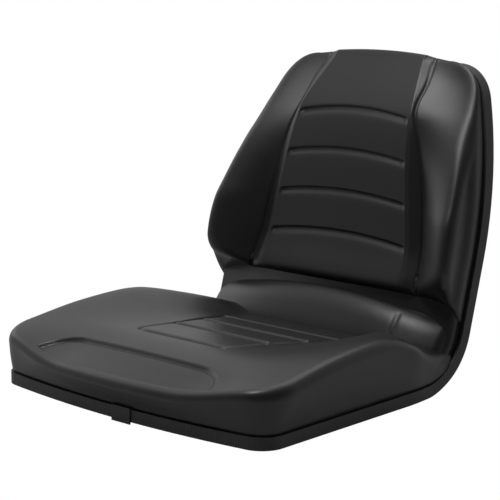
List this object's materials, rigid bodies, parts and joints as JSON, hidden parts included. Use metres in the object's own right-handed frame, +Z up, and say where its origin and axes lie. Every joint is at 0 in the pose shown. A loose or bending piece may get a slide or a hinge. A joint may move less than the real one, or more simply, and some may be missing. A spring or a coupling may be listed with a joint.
{
  "type": "operator seat",
  "caption": "Low-backed operator seat: a one-piece moulded cushion with stitched lines and side bolsters in a pressed pan with edge trim, bolted down through its underside.",
  "frame": {"origin": "middle of the bolt pattern, on the underside of the pan's mounting plateau", "axes": "+Z up; the seat faces -Y, so the back is at +Y; X across, the seat's own left at +X"},
  "size_m": [0.5068, 0.554, 0.4443],
  "materials": {
    "vinyl": "black vinyl skin, satin, fine grain",
    "trim_rubber": "dull black, finely ribbed across",
    "pan_paint": "black powder coat, semi-matt",
    "clip_plastic": "black, semi-matt",
    "nut_steel": "plain zinc"
  },
  "bodies": {
    "root": {"cushion": "vinyl", "edge_trim": "trim_rubber", "seat_pan": "pan_paint", "trim_joint_clip": "clip_plastic", "weld_nuts": "nut_steel"}
  },
  "joints": []
}
